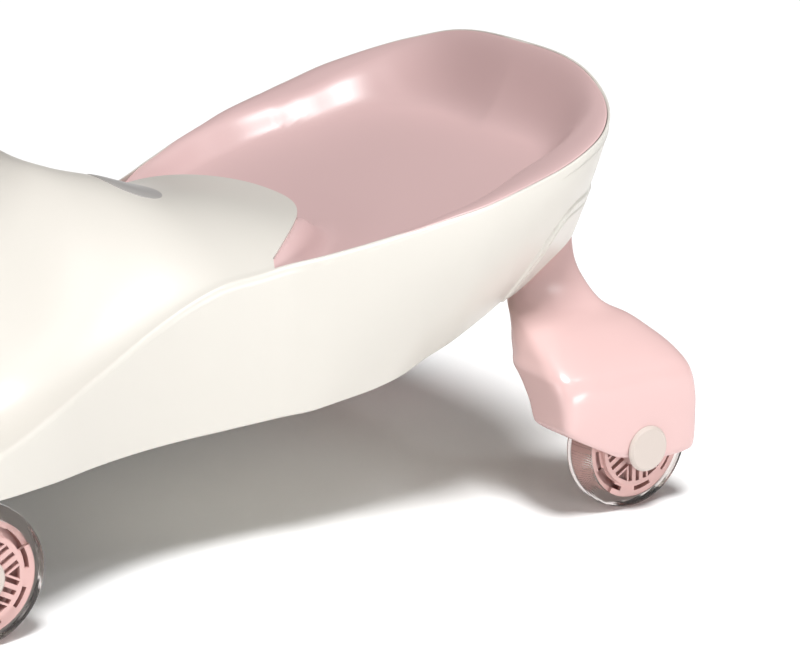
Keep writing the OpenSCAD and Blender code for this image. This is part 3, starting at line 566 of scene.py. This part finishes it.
def tub_mesh():
    xs = [x for x in plan_stations(TUB_EDGE) if x < TUB_TO]
    xs = sorted(set(xs + NOTCH_STATIONS + [TUB_TO]))
    verts = []
    for x in xs:
        row = tub_row(x)
        verts += [[x, -y, z] for y, z in row] + [[x, y, z] for y, z in row[-2::-1]]
    return verts, grid_faces(len(xs), len(verts) // len(xs))


tub = mesh_object("seat_skin", *tub_mesh(), SEAT_PINK, 60)
thicken(tub, TUB_WALL)
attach(tub, "chassis")
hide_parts("seat_tub")

# The badge: a thin oval plate that follows the bonnet
BADGE_X = REAR_X + 281
BADGE_L = 44.0
BADGE_W = 56.0
BADGE_LIFT = 0.8
BADGE_SINK = 0.3
BADGE_RINGS = 12
BADGE_SKIRT = 2
BADGE_SIDES = 72


def badge_mesh():
    verts = []
    for i in range(BADGE_RINGS + BADGE_SKIRT + 1):
        rho = min(1.0, i / BADGE_RINGS)
        for k in range(BADGE_SIDES):
            a = 2 * math.pi * k / BADGE_SIDES
            x, y = BADGE_X + BADGE_L / 2 * rho * math.cos(a), BADGE_W / 2 * rho * math.sin(a)
            lift = BADGE_LIFT * (1 - 0.5 * rho ** 8)
            if i > BADGE_RINGS:
                lift = -BADGE_SINK * (i - BADGE_RINGS)
            verts.append([x, y, top_z(x, y) + lift])
    return verts, grid_faces(BADGE_RINGS + BADGE_SKIRT + 1, BADGE_SIDES, True)


badge = mesh_object("badge_plate", *badge_mesh(), BADGE_GREY, 50)
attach(badge, "chassis")
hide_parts("bonnet_badge")

# The rear pods: rows [z, back, front, inner, outer, squareness] round the rear axle, less the wheel's slot.
# A seventh value is a row's share of the way up to the shell's lower edge, which it then follows.
POD_OUT = POD_W / 2
POD_LOW = 35.5
NECK_Z = 128
POD_TABLE = [[POD_LOW, -40, 53, -POD_OUT + 2, POD_OUT - 2, 7],
             [38, -43.5, 58.5, -POD_OUT, POD_OUT - 0.6, 8],
             [46, -45, 63, -POD_OUT, POD_OUT, 8],
             [68, -45, 65, -POD_OUT - 1, POD_OUT + 0.5, 8],
             [78, -45, 65.5, -POD_OUT - 6, POD_OUT + 0.5, 7],
             [87, -44.5, 66.5, -POD_OUT - 12.5, POD_OUT, 6],
             [94, -43.5, 67.5, -POD_OUT - 19.5, POD_OUT - 1.5, 5],
             [100, -41, 68, -POD_OUT - 26.5, POD_OUT - 5, 4.5],
             [107, -37, 66, -POD_OUT - 30.5, POD_OUT - 13, 4],
             [114, -31, 64, -POD_OUT - 34.5, POD_OUT - 24, 3.6],
             [121, -24, 61, -POD_OUT - 37.5, POD_OUT - 38, 3.3],
             [NECK_Z, -13, 57, -POD_OUT - 41, POD_OUT - 58, 3.2],
             [NECK_Z, -5, 53, -POD_OUT - 47, POD_OUT - 69, 3.1, 0.3],
             [NECK_Z, -2, 49, -POD_OUT - 53, POD_OUT - 77, 3, 0.62],
             [NECK_Z, -4, 45, -POD_OUT - 60, POD_OUT - 84, 3, 1]]
NECK_GAP = 0.7
CHIN_X = 9.0  # the pod's underside rises in front of this
CHIN_GRADE = 0.51
CHIN_FADE = 32.5
POD_SIDES = 112
POD_STEPS = 6
GRILLE_H = 12.3
SIDE_GAP = 3.0
HUB_INNER = 11.5
SLOT_GAP = 4.0
SLOT_BELOW = 1.0
SLOT_STEPS = 48


def pod_row(numbers):
    """Points [x, y, z] round the pod, for one row of the table."""
    z, back, front, inner, outer, squareness = numbers[:6]
    row = []
    for k in range(POD_SIDES):
        a = -2 * math.pi * (k + 0.5) / POD_SIDES
        c, s = math.cos(a), math.sin(a)
        x = mix(back, front, 0.5) + (front - back) / 2 * math.copysign(abs(c) ** (2 / squareness), c)
        y = mix(inner, outer, 0.5) + (outer - inner) / 2 * math.copysign(abs(s) ** (2 / squareness), s)
        if len(numbers) > 6:
            level = mix(z, low_z(REAR_X + x) - NECK_GAP, numbers[6])
        else:
            level = z + CHIN_GRADE * max(0.0, x - CHIN_X) * max(0.0, 1 - (z - POD_LOW) / CHIN_FADE)
        row.append([x, y, level])
    return row


def pod_mesh():
    """A smooth wall through the table's rows, closed at both ends."""
    base = [pod_row(numbers) for numbers in POD_TABLE]
    last = len(base) - 1
    rows = []
    for i in range(last):
        near = list(zip(base[max(0, i - 1)], base[i], base[i + 1], base[min(last, i + 2)]))
        span_in, span_out = 2 if i else 1, 2 if i < last - 1 else 1
        for step in range(POD_STEPS):
            u = step / POD_STEPS
            rows.append([[hermite(start, end, (end - before) / span_in, (after - start) / span_out, u)
                          for before, start, end, after in zip(*points)] for points in near])
    rows.append(base[-1])
    verts = [p for row in rows for p in row]
    faces = grid_faces(len(rows), POD_SIDES, True)
    faces.append(list(range(POD_SIDES)))
    faces.append([len(verts) - 1 - k for k in range(POD_SIDES)])
    return verts, faces


def slot_mesh(side):
    """What the wheel's slot takes out of a pod: a round-topped block, open below."""
    r = WHEEL_R + SLOT_GAP
    arc = [math.pi * i / SLOT_STEPS for i in range(SLOT_STEPS + 1)]
    outline = [[r * math.cos(a), WHEEL_R + r * math.sin(a)] for a in arc]
    outline = [[r, -SLOT_BELOW]] + outline + [[-r, -SLOT_BELOW]]
    n = len(outline)
    verts = [[REAR_X + x, side * (REAR_TRACK / 2 + y), z]
             for y in (-HUB_INNER - SIDE_GAP, GRILLE_H + SIDE_GAP) for x, z in outline]
    faces = [list(range(n)), [2 * n - 1 - k for k in range(n)]]
    faces += [[k, (k + 1) % n, n + (k + 1) % n, n + k] for k in range(n)]
    return verts, faces


for side, label in ((1, "left"), (-1, "right")):
    verts, faces = pod_mesh()
    verts = [[REAR_X + x, side * (REAR_TRACK / 2 + y), z] for x, y, z in verts]
    pod = mesh_object("rear_pod_%s_skin" % label, verts, faces, POD_PINK, 35)
    cut(pod, mesh_object("slot_tool", *slot_mesh(side)))
    finish_mesh(pod, 38)
    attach(pod, "chassis")
    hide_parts("rear_pod_%s" % label)

# Camera fitted to the photograph
YAW = 0.604
PITCH = 0.297
CAMERA_X = (REAR_X + 1224.5) * MM
CAMERA_Y = 1.676
CAMERA_Z = 0.7117
SENSOR_W = 36
PHOTO_W = 800
FOCAL_PX = 3100.3
camera_data = bpy.data.cameras.new("camera")
camera_data.sensor_width = SENSOR_W
camera_data.lens = FOCAL_PX / PHOTO_W * SENSOR_W
camera_data.clip_end = 50
camera = bpy.data.objects.new("camera", camera_data)
camera.location = (CAMERA_X, CAMERA_Y, CAMERA_Z)
look = Vector((-math.cos(PITCH) * math.sin(YAW), -math.cos(PITCH) * math.cos(YAW), -math.sin(PITCH)))
camera.rotation_euler = look.to_track_quat("-Z", "Y").to_euler()
bpy.context.scene.collection.objects.link(camera)
bpy.context.scene.camera = camera

# Floor
FLOOR_HALF = 12
floor_mesh = bpy.data.meshes.new("floor")
floor_mesh.from_pydata([(-FLOOR_HALF, -FLOOR_HALF, 0), (FLOOR_HALF, -FLOOR_HALF, 0),
                        (FLOOR_HALF, FLOOR_HALF, 0), (-FLOOR_HALF, FLOOR_HALF, 0)], [], [(0, 1, 2, 3)])
floor_mesh.materials.append(material("floor", (1.0, 1.0, 1.0), 0.9))
floor = bpy.data.objects.new("floor", floor_mesh)
bpy.context.scene.collection.objects.link(floor)

# Light: a sun from the front left, soft lamps at the left and the front, and a small one for the highlights
WORLD_STRENGTH = 0.05
SUN_ENERGY = 3.35
SUN_ANGLE = 18
SUN_WAY = (-0.14, -0.36, -1)


def aim(ob, way):
    ob.rotation_euler = Vector(way).to_track_quat("-Z", "Y").to_euler()


def area(name, where, target, size, power):
    """A rectangular lamp at a place, aimed at a target, both in metres."""
    data = bpy.data.lights.new(name, "AREA")
    data.shape = "RECTANGLE"
    data.size, data.size_y = size
    data.energy = power
    ob = bpy.data.objects.new(name, data)
    ob.location = where
    aim(ob, Vector(target) - Vector(where))
    bpy.context.scene.collection.objects.link(ob)


world = bpy.data.worlds.new("studio")
bpy.context.scene.world = world
world.use_nodes = True
world.node_tree.nodes["Background"].inputs["Color"].default_value = (1, 1, 1, 1)
world.node_tree.nodes["Background"].inputs["Strength"].default_value = WORLD_STRENGTH
bpy.context.scene.view_settings.view_transform = "Standard"

sun = bpy.data.lights.new("key", "SUN")
sun.energy = SUN_ENERGY
sun.angle = math.radians(SUN_ANGLE)
key = bpy.data.objects.new("key", sun)
aim(key, SUN_WAY)
bpy.context.scene.collection.objects.link(key)
area("side_soft", (-0.5, 2.95, 0.45), (0, 0, 0.2), (1.6, 0.5), 38)
area("front_soft", (2.9, 0.4, 0.6), (0, 0, 0.2), (1.0, 0.6), 16)
area("gloss", (-0.9, 1.3, 2.2), (0, 0, 0.15), (0.3, 0.3), 4)
